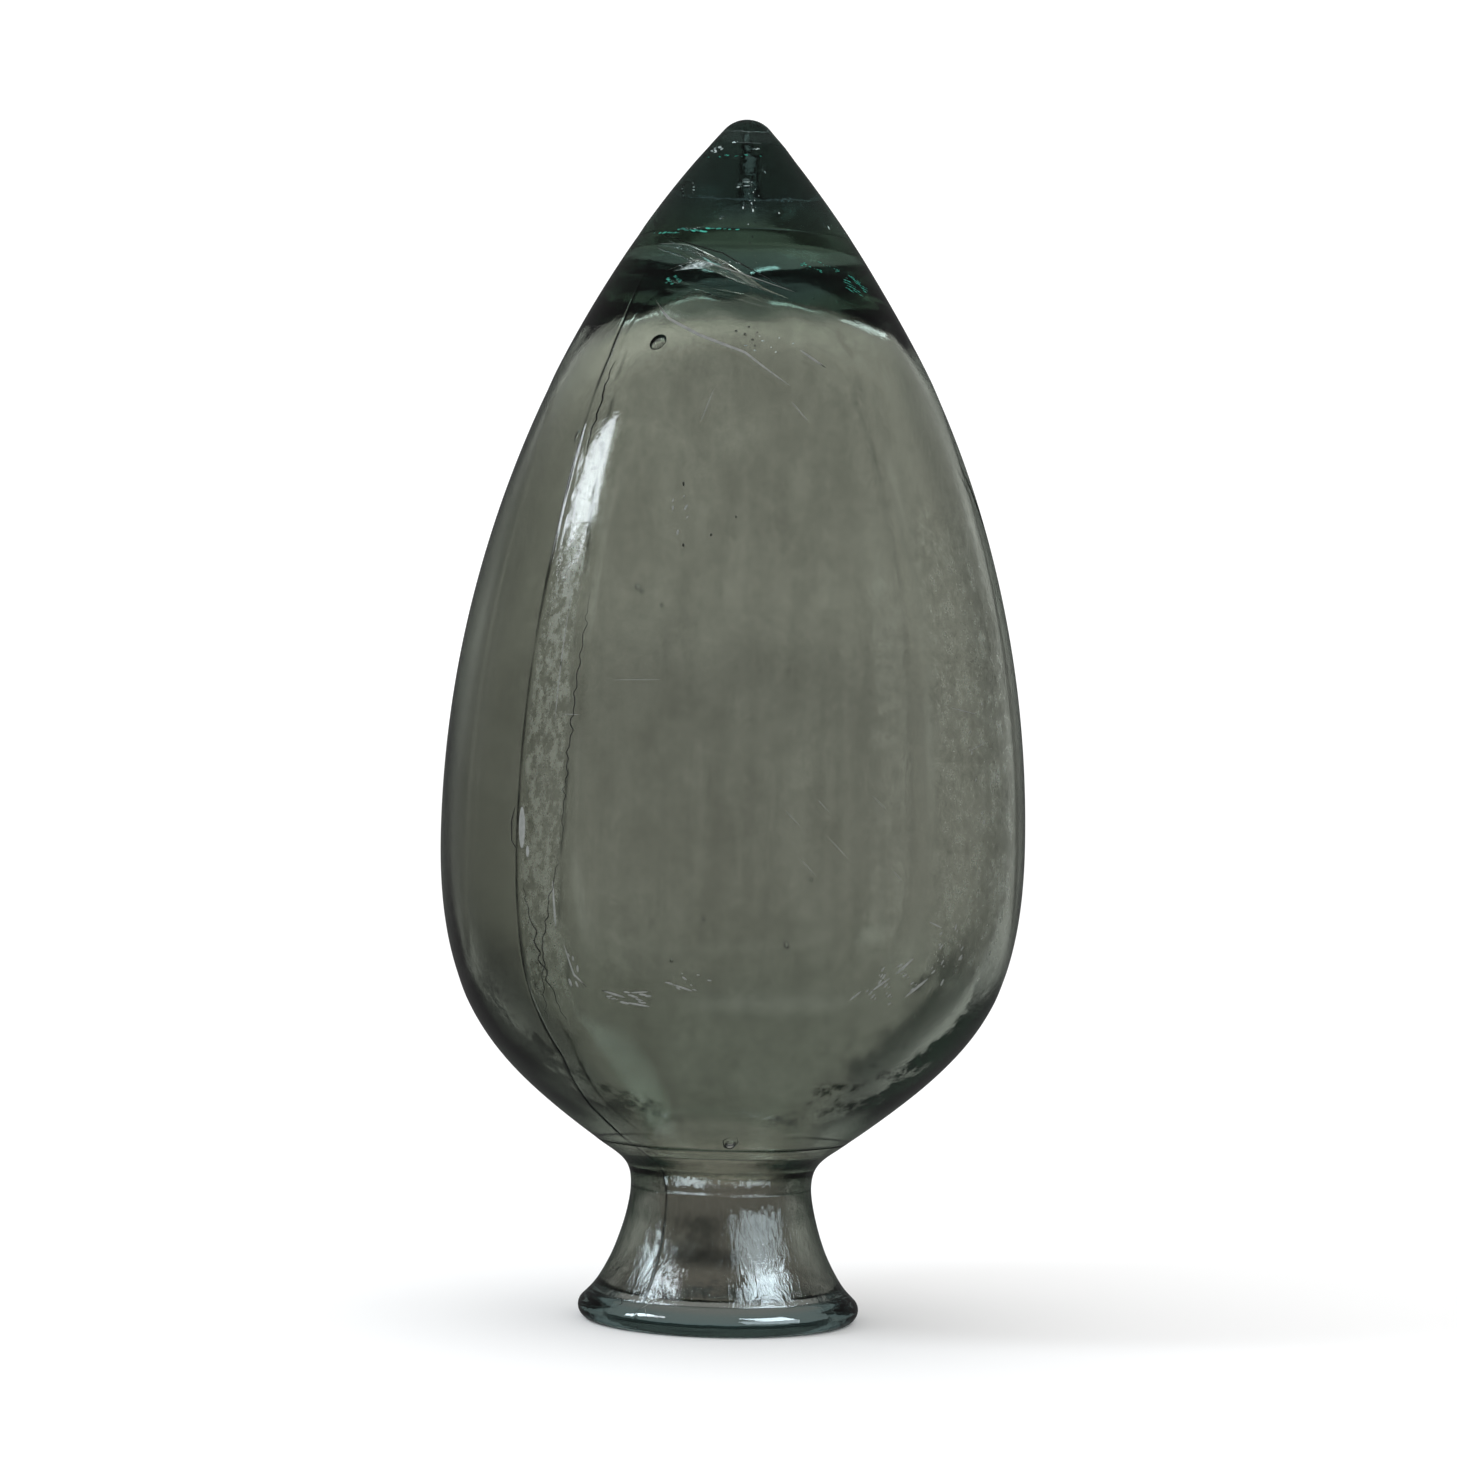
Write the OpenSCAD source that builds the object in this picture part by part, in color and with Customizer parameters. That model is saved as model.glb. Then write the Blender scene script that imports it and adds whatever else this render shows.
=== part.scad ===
// Hollow blown-glass finial: a solid pointed tip, a soft-cornered four-sided bulb,
// a neck collar and an open flared foot, all standing on a thick rounded rim.
// Origin: centre of the resting face, +Z up towards the tip. Millimetres.

/* [Overall] */
// Height from the resting face to the tip
height = 380; // [365:1:400]
// Half width of the bulb across its flats, at its widest level
bulb_r = 91.6; // [86:0.2:96]
// Radius of the long arc that shapes the upper flank
ogive_r = 342; // [330:1:360]
// Radius of the rounded end of the tip
tip_r = 10; // [7:0.5:12]

/* [Bulb] */
// Section exponent at the widest level: 2 is round, more is squarer
squareness = 2.8; // [2:0.1:3.2]
// Wall thickness at the widest level
wall = 3.2; // [2.6:0.1:4.5]
// Height of the hot-joined face between bulb and solid point
point_z = 341.5; // [338:0.5:346]
// Height of the hot-joined face between solid point and end cap
cap_z = 371; // [366:0.5:373]
// Thickness of solid glass between the cavity's crown and the solid point
crown_t = 10.5; // [8:0.5:14]

/* [Neck] */
// Height of the joint line between bulb and neck collar
seam_z = 57; // [56:0.5:59]
// Outer radius at that joint line
seam_r = 40.1; // [38:0.1:42]
// Height of the waist, where the collar meets the foot
waist_z = 42; // [41:0.5:43]
// Outer radius of the waist
waist_r = 28.6; // [27.5:0.1:30]
// Radius of the straight bore through the neck
bore_r = 21.5; // [19:0.1:22.5]

/* [Foot] */
// Height of the thick rim
rim_z = 9; // [8.5:0.1:9.5]
// Outer radius where the flare meets the rim
flare_r = 40.9; // [40.4:0.1:41.4]
// Radius of the rim's rounded outer edge
bead_r = 3.9; // [3.5:0.1:4.1]
// Width of the flat ring that the finial stands on
flat_w = 3; // [2:0.5:4]

/* [Hidden] */
$fn = 96;

smoke_glass = [0.37, 0.38, 0.34, 0.6];
teal_glass = [0.10, 0.24, 0.22, 0.8];

// Heights and radii that follow from the driving sizes
flank_offset = ogive_r - bulb_r;
tip_centre_z = height - tip_r;
equator_z = tip_centre_z - sqrt(pow(ogive_r - tip_r, 2) - pow(flank_offset, 2));
tip_tangent_z = equator_z + ogive_r * (tip_centre_z - equator_z) / (ogive_r - tip_r);
crown_z = point_z - crown_t;
crown_base_z = crown_z - 31;
crown_flat_r = 32;
bore_top_z = seam_z - 7;
bore_foot_z = waist_z - 10;
cavity_seam_r = bore_r + 7;
flare_bore_r = flare_r - 6.9;
bead_centre_r = flare_r - 0.4;
flat_in_r = bead_centre_r - flat_w;
lip_r = 1.5;

// Slopes of the outlines at their joints, in degrees from the vertical axis
seam_slope = 54;
cavity_seam_slope = 52;
flare_slope = 42;
bead_top_angle = 45;

// Lengths of the curve handles: how far each curve follows its end slopes
belly_reach = 52;
seam_reach = 42;
cavity_seam_reach = 43;
crown_reach = 22;
collar_reach = [8.5, 9];
flare_reach = [12, 6];
mouth_reach = [5, 10.6];

// Heights between which the bulb's section turns square, then round again
square_from_z = [seam_z, 115];
round_from_z = [285, point_z - 5];

// Steps around a ring, and along each stretch of outline
sides = 48;
shoulder_steps = 14;
flank_steps = 12;
cavity_steps = 8;
curve_steps = 12;

// Point at share t of a cubic curve with end points a, d and handles b, c
function cubic(a, b, c, d, t) =
    pow(1 - t, 3) * a + 3 * pow(1 - t, 2) * t * b + 3 * (1 - t) * t * t * c + pow(t, 3) * d;

// That curve as points, from a to d
function curve(a, b, c, d, steps = curve_steps) =
    [for (i = [0:steps]) cubic(a, b, c, d, i / steps)];

// A point at a distance from p, along a slope measured from the vertical axis
function along(p, slope, distance) = p + distance * [sin(slope), cos(slope)];

// Radius of the upper flank at height z, moved inwards by inset
function flank(z, inset = 0) =
    sqrt(pow(ogive_r - inset, 2) - pow(z - equator_z, 2)) - flank_offset;

// Slope of the upper flank at height z, in degrees from the vertical axis
function flank_slope(z) = -asin((z - equator_z) / ogive_r);

// The flank between two heights, as [radius, z] points
function flank_points(z0, z1, inset, steps) =
    [for (i = [0:steps]) let (z = z0 + (z1 - z0) * i / steps) [flank(z, inset), z]];

// The list without its first item, and without its last item
function but_first(points) = [for (i = [1:len(points) - 1]) points[i]];
function but_last(points) = [for (i = [0:len(points) - 2]) points[i]];

// Outer face of the bulb, from the joint line with the collar up to the point
function bulb_outline() =
    let (
        low = [seam_r, seam_z],
        belly = [bulb_r, equator_z],
        shoulder = curve(
            low, along(low, seam_slope, seam_reach), belly - [0, belly_reach], belly,
            shoulder_steps
        )
    )
    concat(shoulder, but_first(flank_points(equator_z, point_z, 0, flank_steps)));

// Inner face of the bulb, from the joint line up to the centre of the crown
function cavity_outline() =
    let (
        low = [cavity_seam_r, seam_z],
        belly = [bulb_r - wall, equator_z],
        crown_base = [flank(crown_base_z, wall), crown_base_z],
        crown_handle = along(crown_base, flank_slope(crown_base_z), crown_reach),
        shoulder = curve(
            low, along(low, cavity_seam_slope, cavity_seam_reach), belly - [0, belly_reach], belly,
            curve_steps
        ),
        crown = curve(
            crown_base, crown_handle, [crown_flat_r, crown_z], [0, crown_z],
            cavity_steps
        )
    )
    concat(
        shoulder,
        but_first(flank_points(equator_z, crown_base_z, wall, cavity_steps)),
        but_first(crown)
    );

// Smooth step from 0 at range[0] to 1 at range[1]
function ease(range, x) =
    let (t = min(1, max(0, (x - range[0]) / (range[1] - range[0])))) t * t * (3 - 2 * t);

// Section exponent at height z: round at both joints, squarest in between
function exponent(z) =
    2 + (squareness - 2) * ease(square_from_z, z) * (1 - ease(round_from_z, z));

// Radius of a unit section with exponent n, in direction a
function section(a, n) = pow(pow(abs(cos(a)), n) + pow(abs(sin(a)), n), -1 / n);

// One ring of the bulb through a [radius, z] point of its outline
function ring(p) =
    [for (i = [0:sides - 1])
        let (a = 360 * i / sides, r = p[0] * section(a, exponent(p[1])))
        [r * cos(a), r * sin(a), p[1]]];

// Triangles between ring k and the next one
function band(k) =
    [for (i = [0:sides - 1])
        let (a = k * sides + i, b = k * sides + (i + 1) % sides)
        each [[a, b, b + sides], [a, b + sides, a + sides]]];

// Triangles that close ring k with a point above it, seen from above
function lid(k, point) =
    [for (i = [0:sides - 1]) [k * sides + i, point, k * sides + (i + 1) % sides]];

// The same triangles, seen from below
function ceiling(k, point) =
    [for (i = [0:sides - 1]) [k * sides + i, k * sides + (i + 1) % sides, point]];

// Hollow shell: rings run down the outer face, then up the cavity
module bulb() {
    outer = bulb_outline();
    falling = [for (i = [len(outer) - 1:-1:0]) outer[i]];
    outline = concat(falling, but_last(cavity_outline()));
    top_point = len(outline) * sides;
    crown_point = top_point + 1;
    color(smoke_glass)
    polyhedron(
        points = concat([for (p = outline) each ring(p)], [[0, 0, point_z], [0, 0, crown_z]]),
        faces = concat(
            [for (k = [0:len(outline) - 2]) each band(k)],
            lid(0, top_point),
            ceiling(len(outline) - 1, crown_point)
        )
    );
}

// Solid of revolution about Z from [radius, z] points
module turned(points) {
    rotate_extrude() polygon(points);
}

// Small rounded end of the tip
module end_cap() {
    nose_start = asin((tip_tangent_z - tip_centre_z) / tip_r);
    nose = [for (i = [1:curve_steps - 1])
        let (a = nose_start + (90 - nose_start) * i / curve_steps)
        [tip_r * cos(a), tip_centre_z + tip_r * sin(a)]];
    color(teal_glass)
    turned(concat(
        [[0, cap_z]],
        flank_points(cap_z, tip_tangent_z, 0, 3),
        nose,
        [[0, height]]
    ));
}

// Solid cone of glass between the end cap and the bulb
module solid_point() {
    color(teal_glass)
    turned(concat([[0, point_z]], flank_points(point_z, cap_z, 0, flank_steps), [[0, cap_z]]));
}

// Collar that turns the bulb's slope into the neck, with the top of the bore
module neck_collar() {
    low = [waist_r, waist_z];
    high = [seam_r, seam_z];
    color(smoke_glass)
    turned(concat(
        curve(low, low + [0, collar_reach[0]], along(high, seam_slope, -collar_reach[1]), high),
        [[cavity_seam_r, seam_z], [bore_r, bore_top_z], [bore_r, waist_z]]
    ));
}

// Trumpet-shaped foot with the lower part of the bore
module flared_foot() {
    low = [flare_r, rim_z];
    high = [waist_r, waist_z];
    bore_end = [bore_r, bore_foot_z];
    mouth = [flare_bore_r, rim_z];
    color(smoke_glass)
    turned(concat(
        curve(low, along(low, -flare_slope, flare_reach[0]), high - [0, flare_reach[1]], high),
        [[bore_r, waist_z]],
        curve(bore_end, bore_end - [0, mouth_reach[0]], along(mouth, -flare_slope, mouth_reach[1]), mouth)
    ));
}

// Thick fire-polished rim with the flat ring that the finial stands on
module foot_rim() {
    bead = [for (i = [0:curve_steps])
        let (a = bead_top_angle - (90 + bead_top_angle) * i / curve_steps)
        [bead_centre_r + bead_r * cos(a), bead_r + bead_r * sin(a)]];
    lip = [for (i = [0:curve_steps / 2])
        let (a = 270 - 180 * i / curve_steps)
        [flat_in_r + lip_r * cos(a), lip_r + lip_r * sin(a)]];
    color(teal_glass)
    turned(concat([[flare_r, rim_z]], bead, lip, [[flare_bore_r, rim_z]]));
}

end_cap();
solid_point();
bulb();
neck_collar();
flared_foot();
foot_rim();
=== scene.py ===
"""Looks for a hollow blown-glass finial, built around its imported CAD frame.

Each CAD node is replaced by a closed, finely rippled glass mesh of the same outline.
The pieces stand a hair apart, so that the lines where the glass was fused can be seen.
Azimuths are in degrees from the front, -Y, towards +X. Lengths are in millimetres
until a mesh is made.
"""

import functools
import math

import bpy
import numpy as np
from mathutils import Matrix, Vector, noise


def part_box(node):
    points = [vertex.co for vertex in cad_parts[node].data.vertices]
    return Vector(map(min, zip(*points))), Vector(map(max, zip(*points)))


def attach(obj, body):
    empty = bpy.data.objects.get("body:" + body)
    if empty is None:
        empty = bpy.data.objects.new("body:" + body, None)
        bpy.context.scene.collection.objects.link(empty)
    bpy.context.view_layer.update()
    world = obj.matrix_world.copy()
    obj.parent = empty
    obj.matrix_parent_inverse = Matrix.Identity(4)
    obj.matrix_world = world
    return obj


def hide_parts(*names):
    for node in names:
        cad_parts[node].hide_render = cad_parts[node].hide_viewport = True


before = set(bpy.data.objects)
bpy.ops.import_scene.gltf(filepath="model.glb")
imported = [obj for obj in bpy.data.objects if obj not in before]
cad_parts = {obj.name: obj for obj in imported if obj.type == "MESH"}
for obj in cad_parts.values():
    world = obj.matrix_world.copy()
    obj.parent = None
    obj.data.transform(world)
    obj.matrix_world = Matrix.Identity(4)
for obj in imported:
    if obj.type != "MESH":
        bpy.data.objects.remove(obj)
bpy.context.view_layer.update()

MM = 0.001
BODY = "root"

# ---------------------------------------------------------------- sizes from the frame


def node_box(name):
    """(lowest z, highest z, largest radius) of a CAD node."""
    low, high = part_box(name)
    return low[2] / MM, high[2] / MM, high[0] / MM


CAP_Z, HEIGHT, _ = node_box("end_cap")
POINT_Z = node_box("solid_point")[0]
SEAM_Z, _, BULB_R = node_box("bulb")
WAIST_Z, _, SEAM_R = node_box("neck_collar")
RIM_Z, _, FLARE_R = node_box("flared_foot")

TIP_R = 10.0
OGIVE_R = 342.0
WALL = 3.2
CROWN_Z = POINT_Z - 10.5
CROWN_BASE_Z = CROWN_Z - 31
WAIST_R = 28.6
BORE_R = 21.5
BORE_TOP_Z = SEAM_Z - 7
BORE_FOOT_Z = WAIST_Z - 10
CAVITY_SEAM_R = BORE_R + 7
MOUTH_R = FLARE_R - 6.9
BEAD_R = 3.9
BEAD_CENTRE_R = FLARE_R - 0.4
FLAT_R = BEAD_CENTRE_R - 3
LIP_R = 1.5
SQUARENESS = 2.8
GAP = 0.02  # between two fused pieces
BEVEL = 0.12  # at the edges of a joint
BEVEL_PULL = 0.3  # how far the middle of a bevel is drawn in
SHARP_TURN = 50  # in degrees
SKIN, INNER, JOINT, EDGE = range(4)

# Slopes of the curves where they end, in degrees from the vertical.
SHOULDER_SLOPE = 54
CAVITY_SLOPE = 52
FLARE_SLOPE = -42

FLANK_OFFSET = OGIVE_R - BULB_R
TIP_CENTRE_Z = HEIGHT - TIP_R
EQUATOR_Z = TIP_CENTRE_Z - math.sqrt((OGIVE_R - TIP_R) ** 2 - FLANK_OFFSET**2)
TIP_TANGENT_Z = EQUATOR_Z + OGIVE_R * (TIP_CENTRE_Z - EQUATOR_Z) / (OGIVE_R - TIP_R)

# ---------------------------------------------------------------- outlines, as (radius, z)


def along(point, slope, distance):
    """A point at a distance from another, along a slope in degrees from the vertical axis."""
    a = math.radians(slope)
    return (point[0] + distance * math.sin(a), point[1] + distance * math.cos(a))


def curve(a, b, c, d, steps):
    """Points of a cubic curve from a to d with handles b and c."""
    t = np.linspace(0, 1, steps + 1)[:, None]
    a, b, c, d = (np.array(p, float) for p in (a, b, c, d))
    return (1 - t) ** 3 * a + 3 * (1 - t) ** 2 * t * b + 3 * (1 - t) * t**2 * c + t**3 * d


def line(a, b, steps=1):
    """Evenly spaced points from a to b."""
    t = np.linspace(0, 1, steps + 1)[:, None]
    return np.array(a, float) * (1 - t) + np.array(b, float) * t


def arc(centre, radius, start, end, steps):
    """Points of an arc; angles in degrees from the outward direction."""
    a = np.radians(np.linspace(start, end, steps + 1))
    return np.column_stack([centre[0] + radius * np.cos(a), centre[1] + radius * np.sin(a)])


def flank_radius(z, inset=0.0):
    """Radius of the long arc that shapes the upper flank."""
    return np.sqrt((OGIVE_R - inset) ** 2 - (z - EQUATOR_Z) ** 2) - FLANK_OFFSET


def flank(z0, z1, inset, steps):
    """The upper flank between two heights."""
    z = np.linspace(z0, z1, steps + 1)
    return np.column_stack([flank_radius(z, inset), z])


def unit(vector):
    """The vector at length 1."""
    return vector / np.linalg.norm(vector)


def turn_between(before, here, after):
    """How sharply an outline turns at a point, in degrees."""
    cosine = float(np.dot(unit(here - before), unit(after - here)))
    return math.degrees(math.acos(max(-1, min(1, cosine))))


def outline_of(*parts, closed=False):
    """(points, kinds) from (points, kind) parts that share their end points.

    A kind is SKIN, INNER or JOINT. Sharp corners are bevelled, and the bevel is an EDGE.
    """
    points, kinds = [], []
    for part, kind in parts:
        start = 1 if points else 0
        points += [np.array(p, float) for p in part[start:]]
        kinds += [kind] * (len(part) - start)
    if closed:
        points.pop()
        kinds[0] = kinds.pop()
    result, result_kinds = [], []
    n = len(points)
    for i, here in enumerate(points):
        before, after = points[i - 1], points[(i + 1) % n]
        if (closed or 0 < i < n - 1) and turn_between(before, here, after) > SHARP_TURN:
            to_before, to_after = BEVEL * unit(before - here), BEVEL * unit(after - here)
            result += [here + to_before, here + BEVEL_PULL * (to_before + to_after), here + to_after]
            result_kinds += [kinds[i], EDGE, kinds[(i + 1) % n]]
        else:
            result.append(here)
            result_kinds.append(kinds[i])
    return np.array(result), np.array(result_kinds)


def end_cap_outline():
    """Flat joint, flank and rounded nose."""
    low = CAP_Z + GAP
    nose_start = math.degrees(math.asin((TIP_TANGENT_Z - TIP_CENTRE_Z) / TIP_R))
    nose = arc((0, TIP_CENTRE_Z), TIP_R, nose_start, 90, 16)
    nose[-1, 0] = 0
    return outline_of(
        (line((0, low), (flank_radius(low), low), 8), JOINT),
        (flank(low, TIP_TANGENT_Z, 0, 8), SKIN),
        (nose, SKIN),
    )


def solid_point_outline():
    """Flat joint, flank and flat joint."""
    low, high = POINT_Z + GAP, CAP_Z - GAP
    return outline_of(
        (line((0, low), (flank_radius(low), low), 16), JOINT),
        (flank(low, high, 0, 40), SKIN),
        (line((flank_radius(high), high), (0, high), 8), JOINT),
    )


def bulb_outline():
    """From the centre of the crown down the cavity, then up the outer face to the centre of the top."""
    low, high = SEAM_Z + GAP, POINT_Z - GAP
    base = (float(flank_radius(CROWN_BASE_Z, WALL)), CROWN_BASE_Z)
    base_slope = math.degrees(math.asin((CROWN_BASE_Z - EQUATOR_Z) / OGIVE_R))
    crown_handle = along(base, -base_slope, 22)
    crown = curve((0, CROWN_Z), (32, CROWN_Z), crown_handle, base, 24)
    mouth, foot = (CAVITY_SEAM_R, low), (SEAM_R, low)
    belly_in, belly = (BULB_R - WALL, EQUATOR_Z), (BULB_R, EQUATOR_Z)
    cavity = curve(belly_in, (belly_in[0], EQUATOR_Z - 52), along(mouth, CAVITY_SLOPE, 43), mouth, 36)
    shoulder = curve(foot, along(foot, SHOULDER_SLOPE, 42), (BULB_R, EQUATOR_Z - 52), belly, 64)
    return outline_of(
        (crown, INNER),
        (flank(CROWN_BASE_Z, EQUATOR_Z, WALL, 36), INNER),
        (cavity, INNER),
        (line(mouth, foot, 4), JOINT),
        (shoulder, SKIN),
        (flank(EQUATOR_Z, high, 0, 100), SKIN),
        (line((float(flank_radius(high)), high), (0, high), 12), JOINT),
    )


def collar_outline():
    """Joint with the foot, outer fillet, joint with the bulb, funnel and bore."""
    low, high = WAIST_Z + GAP, SEAM_Z - GAP
    waist, seam = (WAIST_R, low), (SEAM_R, high)
    mouth, bore_top = (CAVITY_SEAM_R, high), (BORE_R, BORE_TOP_Z)
    return outline_of(
        (line((BORE_R, low), waist, 4), JOINT),
        (curve(waist, (WAIST_R, low + 8.5), along(seam, SHOULDER_SLOPE, -9), seam, 22), SKIN),
        (line(seam, mouth, 4), JOINT),
        (curve(mouth, (26, high - 2), (BORE_R, BORE_TOP_Z + 3), bore_top, 10), INNER),
        (line(bore_top, (BORE_R, low), 6), INNER),
        closed=True,
    )


def foot_outline():
    """Joint with the rim, flare, joint with the collar, bore and mouth."""
    low, high = RIM_Z + GAP, WAIST_Z - GAP
    flare, waist = (FLARE_R, low), (WAIST_R, high)
    mouth, bore_foot = (MOUTH_R, low), (BORE_R, BORE_FOOT_Z)
    return outline_of(
        (line(mouth, flare, 4), JOINT),
        (curve(flare, along(flare, FLARE_SLOPE, 12), (WAIST_R, high - 6), waist, 40), SKIN),
        (line(waist, (BORE_R, high), 4), JOINT),
        (line((BORE_R, high), bore_foot, 6), INNER),
        (curve(bore_foot, (BORE_R, BORE_FOOT_Z - 5), along(mouth, FLARE_SLOPE, 10.6), mouth, 24), INNER),
        closed=True,
    )


def rim_outline():
    """Lip, flat ring, rounded bead and joint with the foot."""
    high = RIM_Z - GAP
    lip = arc((FLAT_R, LIP_R), LIP_R, 180, 270, 6)
    bead = arc((BEAD_CENTRE_R, BEAD_R), BEAD_R, -90, 45, 20)
    return outline_of(
        (lip, INNER),
        (line(lip[-1], bead[0], 2), SKIN),
        (bead, SKIN),
        (line(bead[-1], (FLARE_R, high), 3), SKIN),
        (line((FLARE_R, high), (MOUTH_R, high), 4), JOINT),
        (line((MOUTH_R, high), lip[0], 5), INNER),
        closed=True,
    )


# ---------------------------------------------------------------- section, seams and panels


def ease(a, b, x):
    """Smooth step from 0 at a to 1 at b."""
    t = np.clip((x - a) / (b - a), 0, 1)
    return t * t * (3 - 2 * t)


def exponent(z):
    """Section exponent of the bulb: 2 is round, more is squarer."""
    return 2 + (SQUARENESS - 2) * ease(SEAM_Z, 115, z) * (1 - ease(285, POINT_Z - 5, z))


def section(azimuth, z):
    """Radius of a unit section in a direction at a height."""
    a, n = np.radians(azimuth), exponent(z)
    return (np.abs(np.cos(a)) ** n + np.abs(np.sin(a)) ** n) ** (-1 / n)


# The left-hand mould seam wanders a little: (height, azimuth). The other is opposite.
SEAM_PATH = ((0, -41), (9, -39), (30, -39), (50, -42), (60, -48.5), (70, -49), (86, -43.6),
             (240, -43), (300, -44), (327, -49), (380, -50))
SEAM_MIDDLE = -44.0
STRIP_WIDTHS = ((98, 15), (187, 16), (281, 8), (315, 3))
PANEL_HALF = (32.5, 95.0)  # half width in degrees, half height
PANEL_MIDDLE_Z = 200.0


def seam_azimuth(z):
    """Azimuth of the left-hand seam at height z."""
    return np.interp(z, *zip(*SEAM_PATH))


def wrap(azimuth, period=360.0):
    """The azimuth moved into the period that is centred on 0."""
    return (azimuth + period / 2) % period - period / 2


def base_azimuths(plain_step, corner_step):
    """Azimuths round a ring, finer over the corners and finest at both seams."""
    faces, corners = np.arange(-30, 30.1, plain_step), np.arange(30.5, 59.6, corner_step)
    spread = np.concatenate([part + quarter for part in (faces, corners) for quarter in (-180, -90, 0, 90)])
    spread = spread[np.abs(wrap(spread - SEAM_MIDDLE, 180.0)) > 1.7]
    close = np.arange(-1.6, 1.61, 0.2) + SEAM_MIDDLE
    return np.unique(np.round(wrap(np.concatenate([spread, close, close + 180])), 4))


def ring_azimuths(base, z):
    """The azimuths of one ring, shifted so that the finest ones follow the seams."""
    near = np.abs(wrap(base - SEAM_MIDDLE, 180.0))
    return base + (seam_azimuth(z) - SEAM_MIDDLE) * (1 - ease(2, 16, near))


# ---------------------------------------------------------------- mesh building

CALM_NEAR_JOINT = 4.0  # the unevenness fades out over this height at both ends of a piece


def field(points, size, seed):
    """Smooth noise from -1 to 1 at each point; size is that of its waves along each axis."""
    shift = Vector((seed * 17.3, seed * 5.1, seed * 9.7))
    scaled = points / np.array(size)
    return np.array([noise.noise(Vector(p) + shift) for p in scaled])


def new_object(name, verts, faces, material):
    """A smooth mesh object from points in millimetres."""
    mesh = bpy.data.meshes.new(name)
    mesh.from_pydata((np.array(verts) * MM).tolist(), [], faces)
    mesh.update()
    mesh.shade_smooth()
    mesh.materials.append(material)
    obj = bpy.data.objects.new(name, mesh)
    bpy.context.scene.collection.objects.link(obj)
    return obj


def outline_normals(points, closed):
    """Outward normals of an outline, in its own plane."""
    if closed:
        ahead, behind = np.roll(points, -1, 0), np.roll(points, 1, 0)
    else:
        ahead = np.vstack([points[1:], points[-1:]])
        behind = np.vstack([points[:1], points[:-1]])
    step = ahead - behind
    step /= np.linalg.norm(step, axis=1)[:, None]
    return np.column_stack([step[:, 1], -step[:, 0]])


def glass_piece(node, material, outline, base, closed=False, square=False, ripple=1.0):
    """A glass piece that replaces a CAD node: its outline carried round the axis, then rippled."""
    points, kinds = outline
    normals = outline_normals(points, closed)
    verts, azimuths, pushes, kind_of, rings = [], [], [], [], []
    for (r, z), (nr, nz), kind in zip(points, normals, kinds):
        a = ring_azimuths(base, z) if r > 1e-6 else np.zeros(1)
        rho = r * (section(a, z) if square else 1.0)
        radial = np.column_stack([np.sin(np.radians(a)), -np.cos(np.radians(a))])
        rings.append(range(len(azimuths), len(azimuths) + len(a)))
        verts.append(np.column_stack([radial * (rho * np.ones_like(a))[:, None], np.full(len(a), z)]))
        pushes.append(np.column_stack([radial * nr, np.full(len(a), nz)]))
        azimuths.extend(a)
        kind_of.extend([kind] * len(a))
    verts, pushes = np.vstack(verts), np.vstack(pushes)
    masks, push = surface_detail(verts, np.array(azimuths), np.array(kind_of), ripple)
    low, high = points[:, 1].min(), points[:, 1].max()
    inside = np.clip(np.minimum(verts[:, 2] - low, high - verts[:, 2]) / CALM_NEAR_JOINT, 0, 1)
    verts = verts + pushes * (push * inside)[:, None]
    obj = new_object(node + "_glass", verts, ring_faces(rings, closed), material)
    for key, values in masks.items():
        obj.data.attributes.new(key, "FLOAT", "POINT").data.foreach_set("value", values.astype(np.float32))
    obj.data.set_sharp_from_angle(angle=math.radians(SHARP_TURN))
    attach(obj, BODY)
    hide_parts(node)


def ring_faces(rings, closed):
    """Faces between neighbouring rings; a ring of one point closes in a fan."""
    faces = []
    pairs = list(zip(rings, rings[1:])) + ([(rings[-1], rings[0])] if closed else [])
    for low, high in pairs:
        n = max(len(low), len(high))
        for i in range(n):
            j = (i + 1) % n
            if len(low) == 1:
                faces.append((low[0], high[j], high[i]))
            elif len(high) == 1:
                faces.append((low[i], low[j], high[0]))
            else:
                faces.append((low[i], low[j], high[j], high[i]))
    return faces


def bell(x, width):
    """1 where x is 0, falling away smoothly on both sides."""
    return np.exp(-((x / width) ** 2))


def on_body(z):
    """1 along the tall part of the bulb, 0 on its shoulder and crown."""
    return ease(98, 112, z) * (1 - ease(292, 306, z))


def seam_masks(points, azimuth):
    """The mould seams, the chilled strips to their right and the wavy edge of the left-hand strip."""
    z = points[:, 2]
    radius = np.hypot(points[:, 0], points[:, 1])
    left = np.radians(wrap(azimuth - seam_azimuth(z))) * radius
    right = np.radians(wrap(azimuth - seam_azimuth(z) - 180)) * radius
    uneven = field(points, (9, 9, 14), 3)
    seam = (bell(left, 0.45) + 0.6 * bell(right, 0.5)) * (1 - ease(322, 331, z)) * (0.75 + 0.5 * uneven)
    width = np.interp(z, *zip(*STRIP_WIDTHS)) + 1.6 * uneven
    strip, strip_back = (
        ease(0.8, 2.5, across) * (1 - ease(width - 1.5, width, across)) * on_body(z)
        for across in (left, right)
    )
    wavy = bell(left - width, 0.6) * on_body(z) * ease(-0.35, 0.15, field(points, (5, 5, 16), 4))
    return seam, strip, strip_back, wavy


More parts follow.
